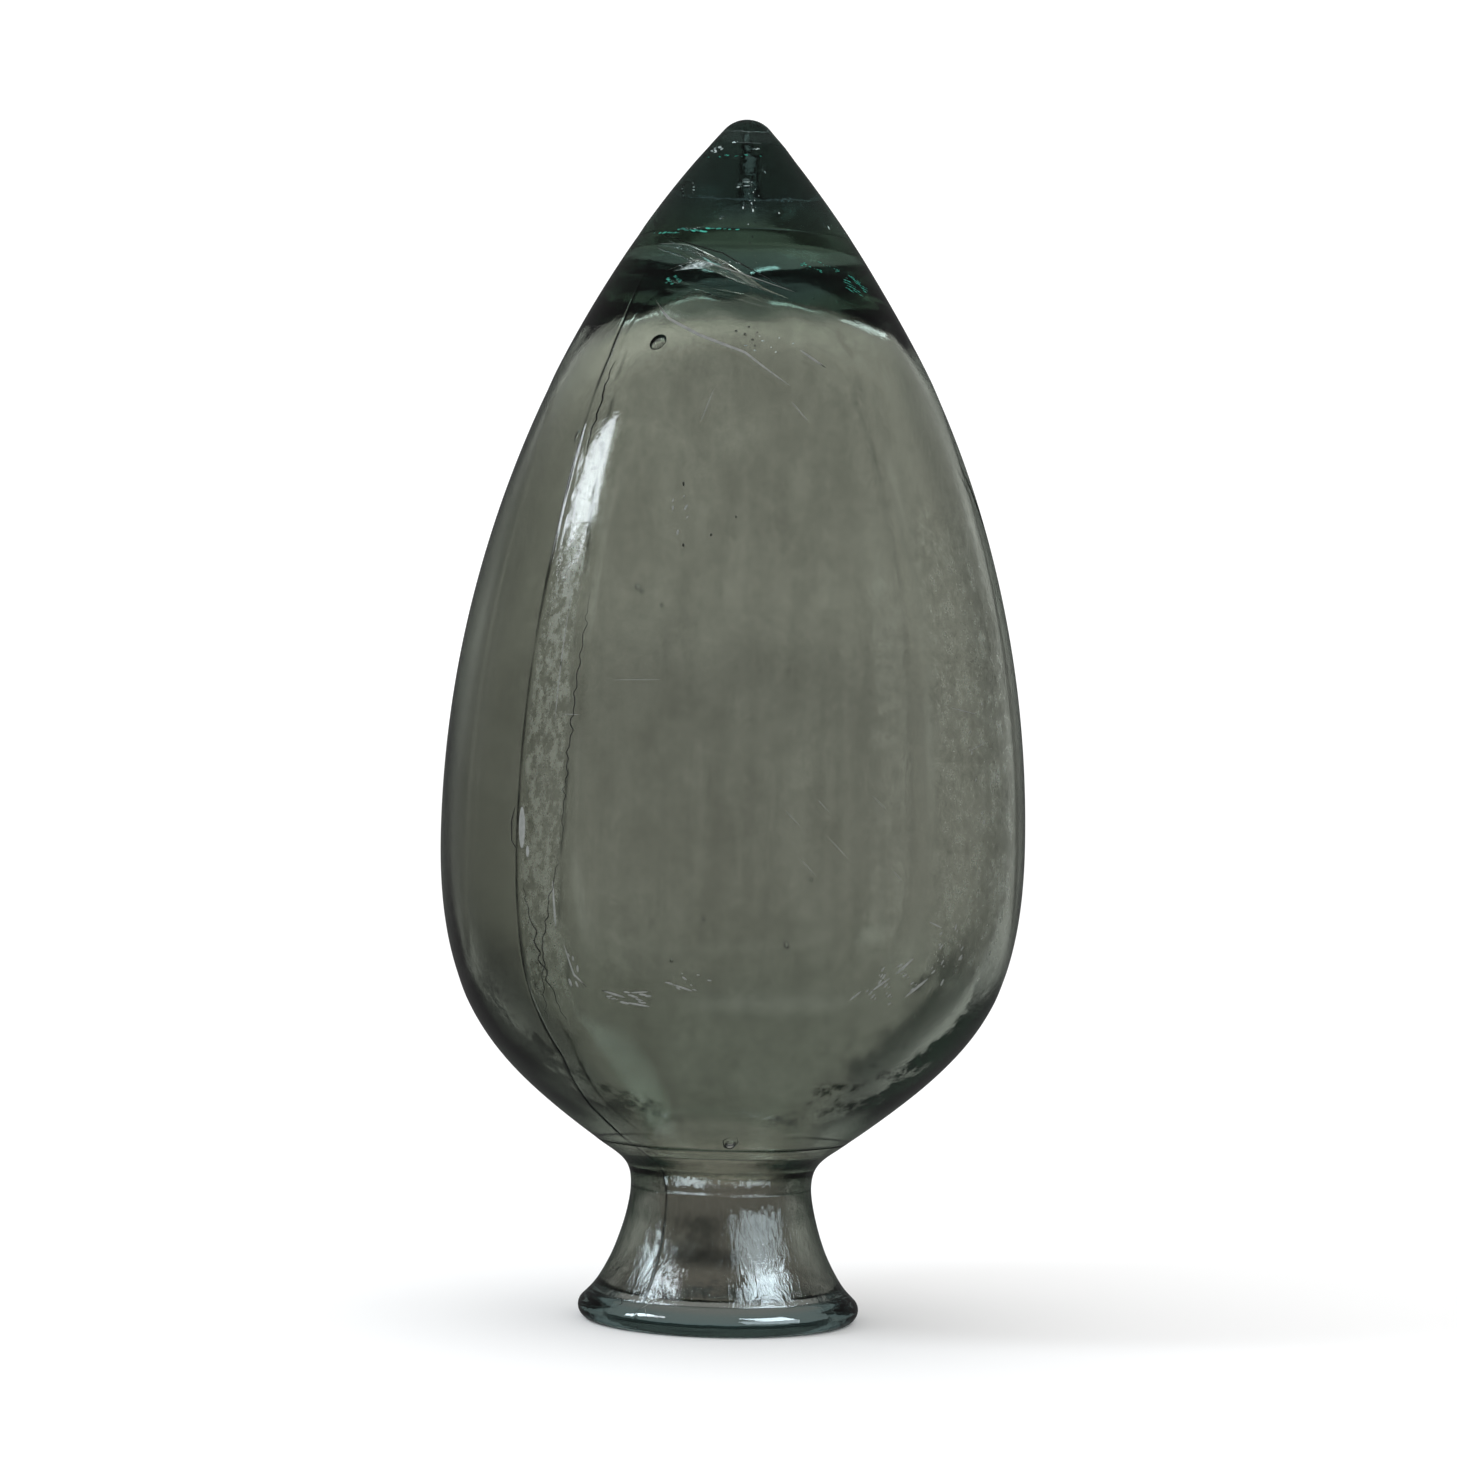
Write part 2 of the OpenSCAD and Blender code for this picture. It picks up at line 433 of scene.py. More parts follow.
def panel_masks(points, azimuth):
    """Place in the sunken panel, less than 1 inside its edge, and the painted highlight line along that edge.
    """
    z = points[:, 2]
    across, up = wrap(azimuth, 90.0) / PANEL_HALF[0], (z - PANEL_MIDDLE_Z) / PANEL_HALF[1]
    place = (np.abs(across) ** 5 + np.abs(up) ** 5) ** 0.2
    front = 1 - 0.6 * ease(40, 50, np.abs(azimuth))
    line_along = bell(place - 1, 0.025) * front * (1 - ease(235, 285, z))
    return place, line_along * ease(-0.3, 0.4, field(points, (22, 22, 30), 7))


def scuff_mask(azimuth, z):
    """Rubbed corners at the front right and, more weakly, opposite."""
    corner = ease(31, 36, np.abs(wrap(azimuth, 90.0))) * on_body(z)
    front_right, opposite = (ease(32, 12, np.abs(wrap(azimuth - middle))) for middle in (50, -130))
    low = ease(98, 120, z) * (1 - ease(225, 275, z))
    return corner * np.maximum(front_right, 0.5 * opposite) * low


def outer_waves(points):
    """Long waves all over, and short ones drawn down the foot, in millimetres."""
    waves = 0.16 * field(points, (38, 38, 90), 1) + 0.05 * field(points, (16, 16, 50), 2)
    return waves + 0.10 * (1 - ease(45, 60, points[:, 2])) * field(points, (4.2, 4.2, 12), 12)


def inner_waves(points):
    """Stronger waves on the inner face, and lumps under the crown, in millimetres."""
    waves = 0.40 * field(points, (34, 34, 70), 8) + 0.12 * field(points, (14, 14, 50), 9)
    return waves + 0.5 * ease(300, 318, points[:, 2]) * field(points, (11, 11, 8), 10)


def surface_detail(points, azimuth, kind, ripple):
    """Masks for the material, and how far each point is pushed out by the glass's unevenness."""
    outer = (kind == SKIN).astype(float)
    z = points[:, 2]
    seam, strip, strip_back, wavy = seam_masks(points, azimuth)
    panel, panel_highlight = panel_masks(points, azimuth)
    chill = field(points, (2.6, 2.6, 5), 5) + 0.5 * field(points, (1.4, 1.4, 2.4), 6)
    raised = 0.28 * np.clip(seam, 0, 1.2) + (0.13 * strip + 0.07 * strip_back) * chill
    sunken = 0.2 * ease(1.04, 0.96, panel)
    push = np.where(outer > 0.5, raised - sunken + outer_waves(points), inner_waves(points))
    waist_edge, rim_edge = np.abs(z - WAIST_Z) < 1, z < 30
    # masks for the material: seam and wavy carry painted shade, panel a painted highlight line
    masks = {
        "seam": np.clip(1.8 * seam, 0, 1) * outer,
        "strip": np.maximum(strip, 0.5 * strip_back) * outer * (1 - 0.7 * ease(238, 250, z)),
        "wavy": wavy * outer,
        "panel": panel_highlight * outer,
        "scuff": scuff_mask(azimuth, z) * outer,
        "joint": (kind == JOINT) + (kind == EDGE) * (0.9 * waist_edge + 0.85 * rim_edge),
    }
    return masks, push * ripple


# ---------------------------------------------------------------- materials

GLASS_IOR = 1.5


class Tree:
    """Short way to write a material's nodes."""

    def __init__(self, name):
        self.material = bpy.data.materials.new(name)
        self.material.use_nodes = True
        self.nodes = self.material.node_tree.nodes
        self.links = self.material.node_tree.links
        self.shader = self.nodes["Principled BSDF"]
        self.output = self.nodes["Material Output"]

    def put(self, socket, value):
        """Links a socket, or sets a plain value on it."""
        if isinstance(value, bpy.types.NodeSocket):
            self.links.new(value, socket)
        else:
            socket.default_value = value

    def position(self):
        """Place on the object in metres."""
        return self.nodes.new("ShaderNodeTexCoord").outputs["Object"]

    def place(self, axis):
        """Place along one axis, X, Y or Z, in metres."""
        node = self.nodes.new("ShaderNodeSeparateXYZ")
        self.links.new(self.position(), node.inputs[0])
        return node.outputs[axis]

    def mask(self, name):
        """A mask that the mesh stores."""
        node = self.nodes.new("ShaderNodeAttribute")
        node.attribute_name = name
        return node.outputs["Fac"]

    def noise(self, scale, stretch=1.0, detail=3.0, rough=0.5):
        """Noise from 0 to 1 over the object; stretch makes it longer along the height."""
        place = self.nodes.new("ShaderNodeMapping")
        self.links.new(self.position(), place.inputs["Vector"])
        place.inputs["Scale"].default_value = (1, 1, 1 / stretch)
        node = self.nodes.new("ShaderNodeTexNoise")
        self.links.new(place.outputs["Vector"], node.inputs["Vector"])
        node.inputs["Scale"].default_value = scale
        node.inputs["Detail"].default_value = detail
        node.inputs["Roughness"].default_value = rough
        return node.outputs["Fac"]

    def math(self, operation, a, b=0.0):
        """One Math node."""
        node = self.nodes.new("ShaderNodeMath")
        node.operation = operation
        self.put(node.inputs[0], a)
        self.put(node.inputs[1], b)
        return node.outputs[0]

    def product(self, *factors):
        """Everything multiplied together."""
        return functools.reduce(lambda a, b: self.math("MULTIPLY", a, b), factors)

    def total(self, *terms):
        """Everything added up."""
        return functools.reduce(lambda a, b: self.math("ADD", a, b), terms)

    def spread(self, value, low, high, to_low=0.0, to_high=1.0):
        """Maps a range of values smoothly onto another."""
        node = self.nodes.new("ShaderNodeMapRange")
        node.interpolation_type = "SMOOTHSTEP"
        self.put(node.inputs["Value"], value)
        ends = {"From Min": low, "From Max": high, "To Min": to_low, "To Max": to_high}
        for key, number in ends.items():
            node.inputs[key].default_value = number
        return node.outputs["Result"]

    def up(self, start, end, low=0.0, high=1.0):
        """Goes from low to high as the height goes from start to end, in millimetres."""
        return self.spread(self.place("Z"), start * MM, end * MM, low, high)

    def across(self, start, end, low=0.0, high=1.0):
        """Goes from low to high as X goes from start to end, in millimetres."""
        return self.spread(self.place("X"), start * MM, end * MM, low, high)

    def mix(self, factor, a, b):
        """Mixes two colours."""
        node = self.nodes.new("ShaderNodeMix")
        node.data_type = "RGBA"
        colours = [s for s in node.inputs if s.type == "RGBA"]
        self.put(node.inputs[0], factor)
        self.put(colours[0], a if isinstance(a, bpy.types.NodeSocket) else (*a, 1))
        self.put(colours[1], b if isinstance(b, bpy.types.NodeSocket) else (*b, 1))
        return [s for s in node.outputs if s.type == "RGBA"][0]

    def bump(self, height, distance, strength=1.0):
        """Bump from a height map; distance in metres."""
        node = self.nodes.new("ShaderNodeBump")
        node.inputs["Strength"].default_value = strength
        node.inputs["Distance"].default_value = distance
        self.put(node.inputs["Height"], height)
        return node.outputs["Normal"]

    def glass(self, colour, roughness, normal=None):
        """Sets the shader up as glass."""
        s = self.shader.inputs
        self.put(s["Base Color"], colour if isinstance(colour, bpy.types.NodeSocket) else (*colour, 1))
        self.put(s["Roughness"], roughness)
        s["Transmission Weight"].default_value = 1.0
        s["IOR"].default_value = GLASS_IOR
        if normal is not None:
            self.put(s["Normal"], normal)
        return self.material

    def fuse_joints(self, left=0.05):
        """Lets light pass the joints almost unbent, as in glass that was fused hot."""
        self.put(self.shader.inputs["Alpha"], self.spread(self.mask("joint"), 0.5, 1.0, 1.0, left))

    def facing(self):
        """0 where the surface faces the viewer and 1 where it is seen edge-on."""
        node = self.nodes.new("ShaderNodeLayerWeight")
        node.inputs["Blend"].default_value = 0.5
        return node.outputs["Facing"]

    def absorb(self, colour, density):
        """Colours light by the thickness of glass that it passes."""
        node = self.nodes.new("ShaderNodeVolumeAbsorption")
        node.inputs["Color"].default_value = (*colour, 1)
        node.inputs["Density"].default_value = density
        self.links.new(node.outputs["Volume"], self.output.inputs["Volume"])


def smoke_body(t):
    """Clouds and drawn streaks in the glass, with painted shade darkening the left and painted light paling
    the right.
    """
    shade = t.total(
        t.product(t.noise(30, 1.6, 5, 0.65), 0.28),
        t.product(t.noise(170, 16, 4, 0.65), 0.30),
        t.product(t.noise(140, 1.0, 7, 0.8), 0.28),
        t.product(t.noise(800, 1.5, 3, 0.7), 0.14),
    )
    tint = t.mix(t.spread(shade, 0.41, 0.59), (0.355, 0.358, 0.320), (0.462, 0.467, 0.422))
    # painted shade: darker towards the left side; painted light: paler towards the right side
    tint = t.mix(t.across(-40, -85, 0, 0.6), tint, (0.24, 0.242, 0.208))
    tint = t.mix(t.across(30, 60, 0, 0.5), tint, (0.52, 0.515, 0.472))
    return t.mix(t.up(60, 50), tint, (0.385, 0.362, 0.335))


def smoke_crown(t, tint):
    """Painted shade on the top above an arch, and a band of painted light below it where the glass faces the
    viewer.
    """
    aside = t.math("SUBTRACT", t.place("X"), 0.006)
    arch = t.total(t.place("Z"), t.product(aside, aside, 7.5))
    # painted shade: the top above the arch is darkened
    tint = t.mix(t.spread(arch, 0.331, 0.342), tint, (0.30, 0.34, 0.33))
    # painted light: the pale band below the arch, where the glass faces the viewer
    band = t.product(t.spread(arch, 0.306, 0.329, 0, 0.9), t.spread(arch, 0.338, 0.332))
    return t.mix(t.product(band, t.spread(t.facing(), 0.5, 0.25)), tint, (0.80, 0.81, 0.74))


def smoke_neck(t, tint):
    """Painted light on the neck, and a painted dark refraction of the bore at the foot of the flare."""
    # painted light: the neck is paled
    neck = t.product(t.up(44, 48), t.up(63, 56, 0, 0.36))
    tint = t.mix(neck, tint, (0.72, 0.69, 0.61))
    # painted shade: a dark refraction of the bore painted at the foot of the flare
    painted_refraction_shade = t.product(t.up(18.5, 21.5), t.up(26.5, 23, 0, 0.8), t.across(-19, -12), t.across(6, 0))
    return t.mix(painted_refraction_shade, tint, (0.08, 0.085, 0.08))


def smoke_edges(t, tint):
    """Darker glass where it is seen edge-on, partly for the longer path through the glass and partly painted
    shade, most of all at the waist and on the lower shoulder; painted shade also on the lower left.
    """
    # painted shade: extra darkening at the waist
    waist = t.product(t.up(36, 43), t.up(54, 49, 0, 0.36))
    edge_on = t.total(t.facing(), waist, t.up(118, 85, 0, 0.1))
    tint = t.mix(t.spread(edge_on, 0.58, 0.92, 0, 0.93), tint, (0.03, 0.045, 0.03))
    # painted shade: darker towards the lower left
    lower_left = t.product(t.across(-12, -30), t.up(100, 85, 0, 0.3), t.up(58, 66))
    tint = t.mix(lower_left, tint, (0.22, 0.22, 0.185))
    # painted shade: a near-black ragged band on the lower shoulder, stronger to the right
    ragged = t.spread(t.total(t.facing(), t.noise(70, 1, 5, 0.7)), 1.00, 1.13)
    deep = t.product(t.up(60, 72), t.up(124, 104), ragged, t.across(-50, 50, 0.90, 1.0))
    return t.mix(deep, tint, (0.0012, 0.004, 0.002))


def smoke_marks(t, tint):
    """The strip, panel edges, seams and scuffs, with painted glints on the strip, painted highlights on the
    panel edges and painted shade along the seams and the strip's wavy edge. Returns the tint and where the
    face is frosted.
    """
    # painted glints: pale flecks on the chilled strip, whose chill marks are real
    chilled = t.product(t.mask("strip"), t.spread(t.noise(420, 2.0, 5, 0.75), 0.44, 0.60))
    tint = t.mix(chilled, tint, (0.95, 0.97, 0.93))
    # painted highlight along the panel edges
    tint = t.mix(t.product(t.mask("panel"), 0.45), tint, (0.95, 0.97, 0.93))
    # painted shade along the wavy edge of the strip
    tint = t.mix(t.mask("wavy"), tint, (0.02, 0.025, 0.02))
    # painted shade along the mould seam ridge
    tint = t.mix(t.mask("seam"), tint, (0.003, 0.004, 0.003))
    rubbed = t.noise(210, 1.5, 7, 0.8)
    haze = t.product(t.mask("scuff"), t.spread(rubbed, 0.46, 0.64, 0.0, 0.75))
    tint = t.mix(haze, tint, (0.80, 0.82, 0.78))
    grime = t.product(t.mask("scuff"), t.spread(rubbed, 0.50, 0.36, 0.0, 0.7))
    tint = t.mix(grime, tint, (0.17, 0.17, 0.15))
    return tint, t.math("MAXIMUM", haze, chilled)


def smoke_glass():
    """Smoky grey-green glass: clouds, drawn streaks, a chilled strip, scuffs and a mould seam, with painted
    shade, painted light and painted highlights.
    """
    t = Tree("smoke_glass")
    tint = smoke_edges(t, smoke_neck(t, smoke_crown(t, smoke_body(t))))
    tint, frosted_where = smoke_marks(t, tint)
    foot = t.up(60, 45)
    wear = t.spread(t.noise(60, 1, 5, 0.7), 0.52, 0.75, 0.02, 0.10)
    worn_foot = t.product(foot, t.spread(t.noise(330, 2.5, 6, 0.8), 0.46, 0.62, 0, 0.14))
    rough = t.total(wear, t.product(frosted_where, 0.42), worn_foot)
    chill = t.product(t.mask("strip"), t.noise(330, 1.6, 4, 0.65), 5.0)
    drawn = t.total(t.product(t.noise(520, 5, 4, 0.65), 11.0), t.product(t.noise(150, 2, 3, 0.5), 22.0))
    relief = t.total(t.noise(900, 2, 3, 0.6), chill, t.product(foot, drawn))
    t.glass(tint, rough, t.bump(relief, 0.00004, 0.6))
    t.absorb((0.45, 0.555, 0.49), 60.0)
    t.fuse_joints()
    return t.material


def teal_glass():
    """Thick glass, deep teal because it is solid. The rim is darker than the point."""
    t = Tree("teal_glass")
    tint = t.mix(t.spread(t.noise(40, 1, 4, 0.6), 0.3, 0.7), (0.30, 0.33, 0.32), (0.44, 0.48, 0.46))
    tint = t.mix(t.up(20, 10), tint, (0.185, 0.195, 0.180))
    tint = t.mix(t.up(5.5, 3), tint, (0.13, 0.19, 0.19))
    tint = t.mix(t.spread(t.facing(), 0.5, 1.0, 0, 0.6), tint, (0.10, 0.14, 0.13))
    rough = t.spread(t.noise(90, 1, 5, 0.7), 0.5, 0.8, 0.01, 0.08)
    ripples = t.total(t.noise(260, 1, 3, 0.5), t.product(t.noise(75, 1.5, 3, 0.5), 5.0))
    t.glass(tint, rough, t.bump(ripples, 0.00012, 0.6))
    t.absorb((0.545, 0.630, 0.635), 90.0)
    t.fuse_joints()
    return t.material


def air_glass():
    """The inside face of an air bubble in the glass."""
    t = Tree("air_bubble")
    return t.glass((0.95, 0.97, 0.96), t.spread(t.noise(800, 1, 2), 0.4, 0.7, 0.0, 0.05))


def stone():
    """A dark speck of unmelted batch."""
    t = Tree("dark_speck")
    t.put(t.shader.inputs["Base Color"], t.mix(t.noise(900), (0.004, 0.005, 0.005), (0.02, 0.02, 0.018)))
    t.shader.inputs["Roughness"].default_value = 0.6
    return t.material


def frosted():
    """The torn, pale floor of a scratch."""
    t = Tree("scratch")
    t.put(t.shader.inputs["Base Color"], t.mix(t.noise(700), (0.10, 0.11, 0.10), (0.26, 0.27, 0.26)))
    t.shader.inputs["Roughness"].default_value = 0.8
    return t.material


def glint(name, dark, light):
    """A painted glint: a flat pale or teal flaw on the outer face that stands in for light caught in the
    glass.
    """
    t = Tree(name)
    t.put(t.shader.inputs["Base Color"], t.mix(t.spread(t.noise(900, 1, 3), 0.35, 0.65), dark, light))
    t.shader.inputs["Roughness"].default_value = 0.35
    return t.material


smoke, teal, air, speck, white = smoke_glass(), teal_glass(), air_glass(), stone(), frosted()
# painted glints: pale and teal paint for flakes and threads that stand in for light caught in the glass
bright = glint("painted_glint", (0.12, 0.17, 0.165), (0.55, 0.64, 0.64))
green = glint("painted_teal_glint", (0.005, 0.07, 0.055), (0.03, 0.36, 0.27))

# ---------------------------------------------------------------- glass pieces

BULB_AZIMUTHS = base_azimuths(1.5, 0.55)
NECK_AZIMUTHS = base_azimuths(1.5, 1.5)
TIP_AZIMUTHS = np.arange(-180, 180, 2.5)

bulb_shape = bulb_outline()
glass_piece("end_cap", teal, end_cap_outline(), TIP_AZIMUTHS, ripple=1.5)
glass_piece("solid_point", teal, solid_point_outline(), TIP_AZIMUTHS, ripple=2.5)
glass_piece("bulb", smoke, bulb_shape, BULB_AZIMUTHS, square=True)
glass_piece("neck_collar", smoke, collar_outline(), NECK_AZIMUTHS, closed=True)
glass_piece("flared_foot", smoke, foot_outline(), NECK_AZIMUTHS, closed=True)
glass_piece("foot_rim", teal, rim_outline(), NECK_AZIMUTHS, closed=True, ripple=0.5)

# ---------------------------------------------------------------- seeds, lines and scratches

OUTLINES = (rim_outline(), foot_outline(), collar_outline(), bulb_shape, solid_point_outline(),
            end_cap_outline())
OUTER_POINTS = np.vstack([points[kinds == SKIN] for points, kinds in OUTLINES])
OUTER_POINTS = OUTER_POINTS[np.argsort(OUTER_POINTS[:, 1])]


def outer_radius(azimuth, z):
    """Radius of the outer face in a direction at a height."""
    return np.interp(z, OUTER_POINTS[:, 1], OUTER_POINTS[:, 0]) * section(azimuth, z)


def surface_point(azimuth, z, depth):
    """A point under the outer face, in millimetres."""
    r = outer_radius(azimuth, z) - depth
    a = math.radians(azimuth)
    return Vector((r * math.sin(a), -r * math.cos(a), z))


def surface_frame(azimuth, z, depth):
    """Matrix with X along the face sideways, Y up along the face and Z outwards."""
    here, step = surface_point(azimuth, z, depth), 0.5
    side = (surface_point(azimuth + step, z, depth) - surface_point(azimuth - step, z, depth)).normalized()
    up = (surface_point(azimuth, z + step, depth) - surface_point(azimuth, z - step, depth)).normalized()
    out = side.cross(up).normalized()
    up = out.cross(side)
    return Matrix.Translation(here) @ Matrix((side, up, out)).transposed().to_4x4()


def seeds(name, material, items, segments=20):
    """One object of flattened ellipsoids: (azimuth, z, depth, width, height, thickness, tilt)."""
    verts, faces = [], []
    rows = segments // 2
    for azimuth, z, depth, width, height, thick, tilt in items:
        place = surface_frame(azimuth, z, depth) @ Matrix.Rotation(math.radians(tilt), 4, "Z")
        rings = []
        for i in range(rows + 1):
            lat = math.pi * i / rows - math.pi / 2
            count = segments if 0 < i < rows else 1
            rings.append(range(len(verts), len(verts) + count))
            for j in range(count):
                lon = 2 * math.pi * j / segments
                x, y = math.cos(lat) * math.cos(lon) * width, math.cos(lat) * math.sin(lon) * height
                verts.append(place @ Vector((x / 2, y / 2, math.sin(lat) * thick / 2)))
        faces += ring_faces(rings, False)
    small_piece(name, verts, faces, material)


def threads(name, material, items, sides=8):
    """One object of thin tapered tubes along the face: (path of (azimuth, z), depth, width, thickness)."""
    verts, faces = [], []
    for path, depth, width, thick in items:
        path = np.array(path, float)
        travel_azimuth, travel_z = np.abs(np.diff(path, axis=0)).sum(axis=0)
        steps = max(8, int(travel_z + travel_azimuth))
        at = np.linspace(0, len(path) - 1, steps + 1)
        route = [[np.interp(t, range(len(path)), path[:, k]) for k in (0, 1)] for t in at]
        places = [surface_point(azimuth, z, depth) for azimuth, z in route]
        rings = []
        for k, (azimuth, z) in enumerate(route):
            out = surface_frame(azimuth, z, depth).to_3x3().col[2]
            ahead = (places[min(k + 1, steps)] - places[max(k - 1, 0)]).normalized()
            side = ahead.cross(out).normalized()
            taper = math.sin(math.pi * k / steps) ** 0.6 if 0 < k < steps else 0.0
            count = sides if taper else 1
            rings.append(range(len(verts), len(verts) + count))
            for j in range(count):
                a = 2 * math.pi * j / sides
                ring = side * math.cos(a) * width / 2 + out * math.sin(a) * thick / 2
                verts.append(places[k] + ring * taper)
        faces += ring_faces(rings, False)
    small_piece(name, verts, faces, material)


def small_piece(name, verts, faces, material):
    """An object for small flaws, riding with the glass.

    Faces of an air bubble look inwards, because the glass is outside it.
    """
    if material is air:
        faces = [tuple(reversed(f)) for f in faces]
    obj = new_object(name, [tuple(v) for v in verts], faces, material)
    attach(obj, BODY)


def crack(low, high, azimuths, seed):
    """A ragged path up the face, from the first azimuth at the low end to the second at the high end."""
    step, waves, wander = 1.6, 0.45, 1.1
    z = np.arange(low, high, step)
    drift = [noise.noise(Vector((seed * 7.7, waves * height, 0))) for height in z]
    return tuple(zip(np.interp(z, (low, high), azimuths) + wander * np.array(drift), z))


FLAKE_DEPTH, FLAKE_NARROW, FLAKE_THICK = 0.01, 0.32, 0.14
FLAKE_STEPS = (0.618, 0.755, 0.57)  # from one flake to the next: sideways, up and in length


def flakes(count, azimuth, z, spread_azimuth, spread_z, size, tilt, seed):
    """Many small flat flaws, scattered evenly but irregularly about a place on the face."""
    items = []
    for k in range(count):
        u, v, w = ((step * k + shift * seed) % 1 for step, shift in zip(FLAKE_STEPS, (0.37, 0.11, 0.3)))
        u, v = u - 0.5, v - 0.5
        u, v = u * (1 - abs(v)), v * (1 - abs(u))
        length = size * (0.45 + 0.9 * w)
        place = (azimuth + 2 * u * spread_azimuth, z + 2 * v * spread_z)
        turn = tilt + 16 * math.sin(2.4 * k)
        items.append((*place, FLAKE_DEPTH, length, length * FLAKE_NARROW, FLAKE_THICK, turn))
    return items


# Seeds and specks are (azimuth, z, depth, width, height, thickness, tilt), as in seeds().
BULB_SEEDS = [
    (-30.8, 303.5, 2.3, 4.8, 6.2, 2.2, -25), (-1.2, 60.0, 1.9, 3.6, 4.8, 3.0, -15),
    (-24.3, 228.3, 1.5, 1.8, 1.8, 1.0, 0), (-23.4, 227, 1.5, 1.2, 1.4, 0.8, 0),
    (-19.3, 223, 1.6, 1.0, 1.2, 0.8, 0), (-9.1, 130.7, 1.5, 1.0, 1.2, 0.8, 0),
    (-15.1, 118.2, 1.8, 1.1, 1.3, 0.9, 0), (6.9, 123.5, 1.6, 1.6, 2.2, 1.0, 20),
    (10.9, 143, 1.5, 1.1, 1.2, 0.8, 0), (-45.5, 274, 1.8, 1.6, 4.0, 1.1, 0),
    (-44.6, 266, 1.8, 1.0, 2.4, 0.9, 0),
]
BULB_SEEDS += [(-3.7 + dx, 306.5 + dz, 2.2, s, s, 0.8, 0) for dx, dz, s in
               ((0, 0, 0.9), (-3, 1, 0.8), (2.4, -1.6, 0.8), (1.2, 2.4, 0.7), (4, 0.8, 0.6),
                (3.2, -3.4, 0.7))]
CROWN_SEEDS = [(-0.5 + 1.5 * math.sin(5 * k), 338 - 2.1 * k, 5, 0.55, 1.1, 0.55, 0) for k in range(6)]
POINT_SEEDS = [
    (-4.8, 357.2, 3, 3.6, 1.8, 1.8, 0), (-10.5, 355.4, 4, 2.2, 1.6, 1.6, 10),
    (-0.3, 355.5, 4, 1.0, 2.4, 1.0, 0), (11.9, 360.9, 3, 1.0, 1.8, 1.0, 15),
    (-18.4, 344.6, 4, 1.8, 1.6, 1.4, 0), (15.4, 347.1, 5, 0.9, 1.0, 0.9, 0),
    (48.7, 344.0, 3, 1.0, 2.2, 1.0, -10), (-6.1, 348.2, 5, 1.2, 3.2, 1.1, 0),
    (-0.2, 348.4, 5, 1.2, 3.6, 1.1, 0),
]
POINT_SEEDS += [(-50.8 + dx, 355.7 + dz, 2.5, s, s * 1.2, s, 0) for dx, dz, s in
                ((0, 0, 1.0), (-6, 1.4, 0.8), (5, 1.8, 0.7), (-3, -2.2, 0.8), (4, -2.6, 0.6), (9, -0.4, 0.6))]
POINT_SEEDS += [(-0.5 + 2 * math.sin(4 * k), 356.5 - 2.7 * k, 5, 0.6, 1.2, 0.6, 0) for k in range(6)]

seeds("bulb_seeds", air, BULB_SEEDS)
seeds("crown_seeds", air, CROWN_SEEDS, 12)
seeds("point_seeds", air, POINT_SEEDS, 14)
seeds("bulb_specks", speck,
      [(-17.2, 259.6, 1.4, 0.6, 1.6, 0.5, 10), (-16.0, 241.1, 1.4, 0.6, 1.2, 0.5, 0),
       (-10.3, 244.4, 1.4, 0.5, 1.0, 0.5, 0), (-5, 250, 1.4, 0.4, 0.8, 0.4, 0)], 10)
threads("crown_airlines", air, [
    (((-47, 338), (-17, 330.5), (-2, 323), (12.5, 318.5)), 1.3, 1.3, 0.7),
    (((-54, 336), (-34, 333.5), (-15, 328), (4, 321)), 3.2, 5.5, 1.0),
])
seeds("bulb_blister", white,
      [(-42.3, 156, 0.02, 2.4, 12.5, 0.30, 2), (-41.0, 149, 0.02, 1.2, 3.5, 0.2, 0)])
threads("bulb_cords", white, [
    (((-37, 318), (-29.3, 311.6), (-17.7, 306.1), (-3.6, 301), (9, 291)), 0.02, 1.0, 0.16),
    (((13, 302.5), (20, 297)), 0.02, 0.8, 0.12),
    (((-38, 327.5), (-25, 331), (-6, 326.5), (15, 321)), 0.02, 0.4, 0.12),
    (((9, 286), (13, 280)), 0.05, 0.3, 0.2),
    (((-12, 289), (-14.5, 279)), 0.02, 0.2, 0.15),
])
threads("bulb_cracks", speck, [
    (((-44.0, 162.5), (-44.7, 158), (-44.5, 152), (-43.4, 149.5)), 0.05, 0.45, 0.2),
    (crack(98, 150, (-41.5, -34.5), 1), 0.04, 0.34, 0.2),
    (crack(98, 141, (-37.0, -42.3), 2), 0.04, 0.45, 0.2),
    (crack(150, 228, (-34.5, -33.0), 3), 0.04, 0.34, 0.2),
    (crack(268, 300, (-40.8, -41.5), 4), 0.04, 0.6, 0.2),
    (((-55, 341), (-14, 333), (-1, 327.5), (15, 321)), 0.05, 0.5, 0.2),
    (((58, 273), (63, 259), (66.5, 247)), 0.04, 0.4, 0.2),
    (((60, 268), (66, 254)), 0.04, 0.25, 0.2),
    (((-55, 8.7), (-52, 9.4), (-50, 8.1), (-52, 7.2)), 0.05, 0.4, 0.2),
    (((-1.5, 62.2), (-4.2, 61.0), (-3.6, 58.6), (-0.6, 58.0), (1.8, 60.4), (0.6, 62.6)), 0.05, 0.35, 0.2),
])
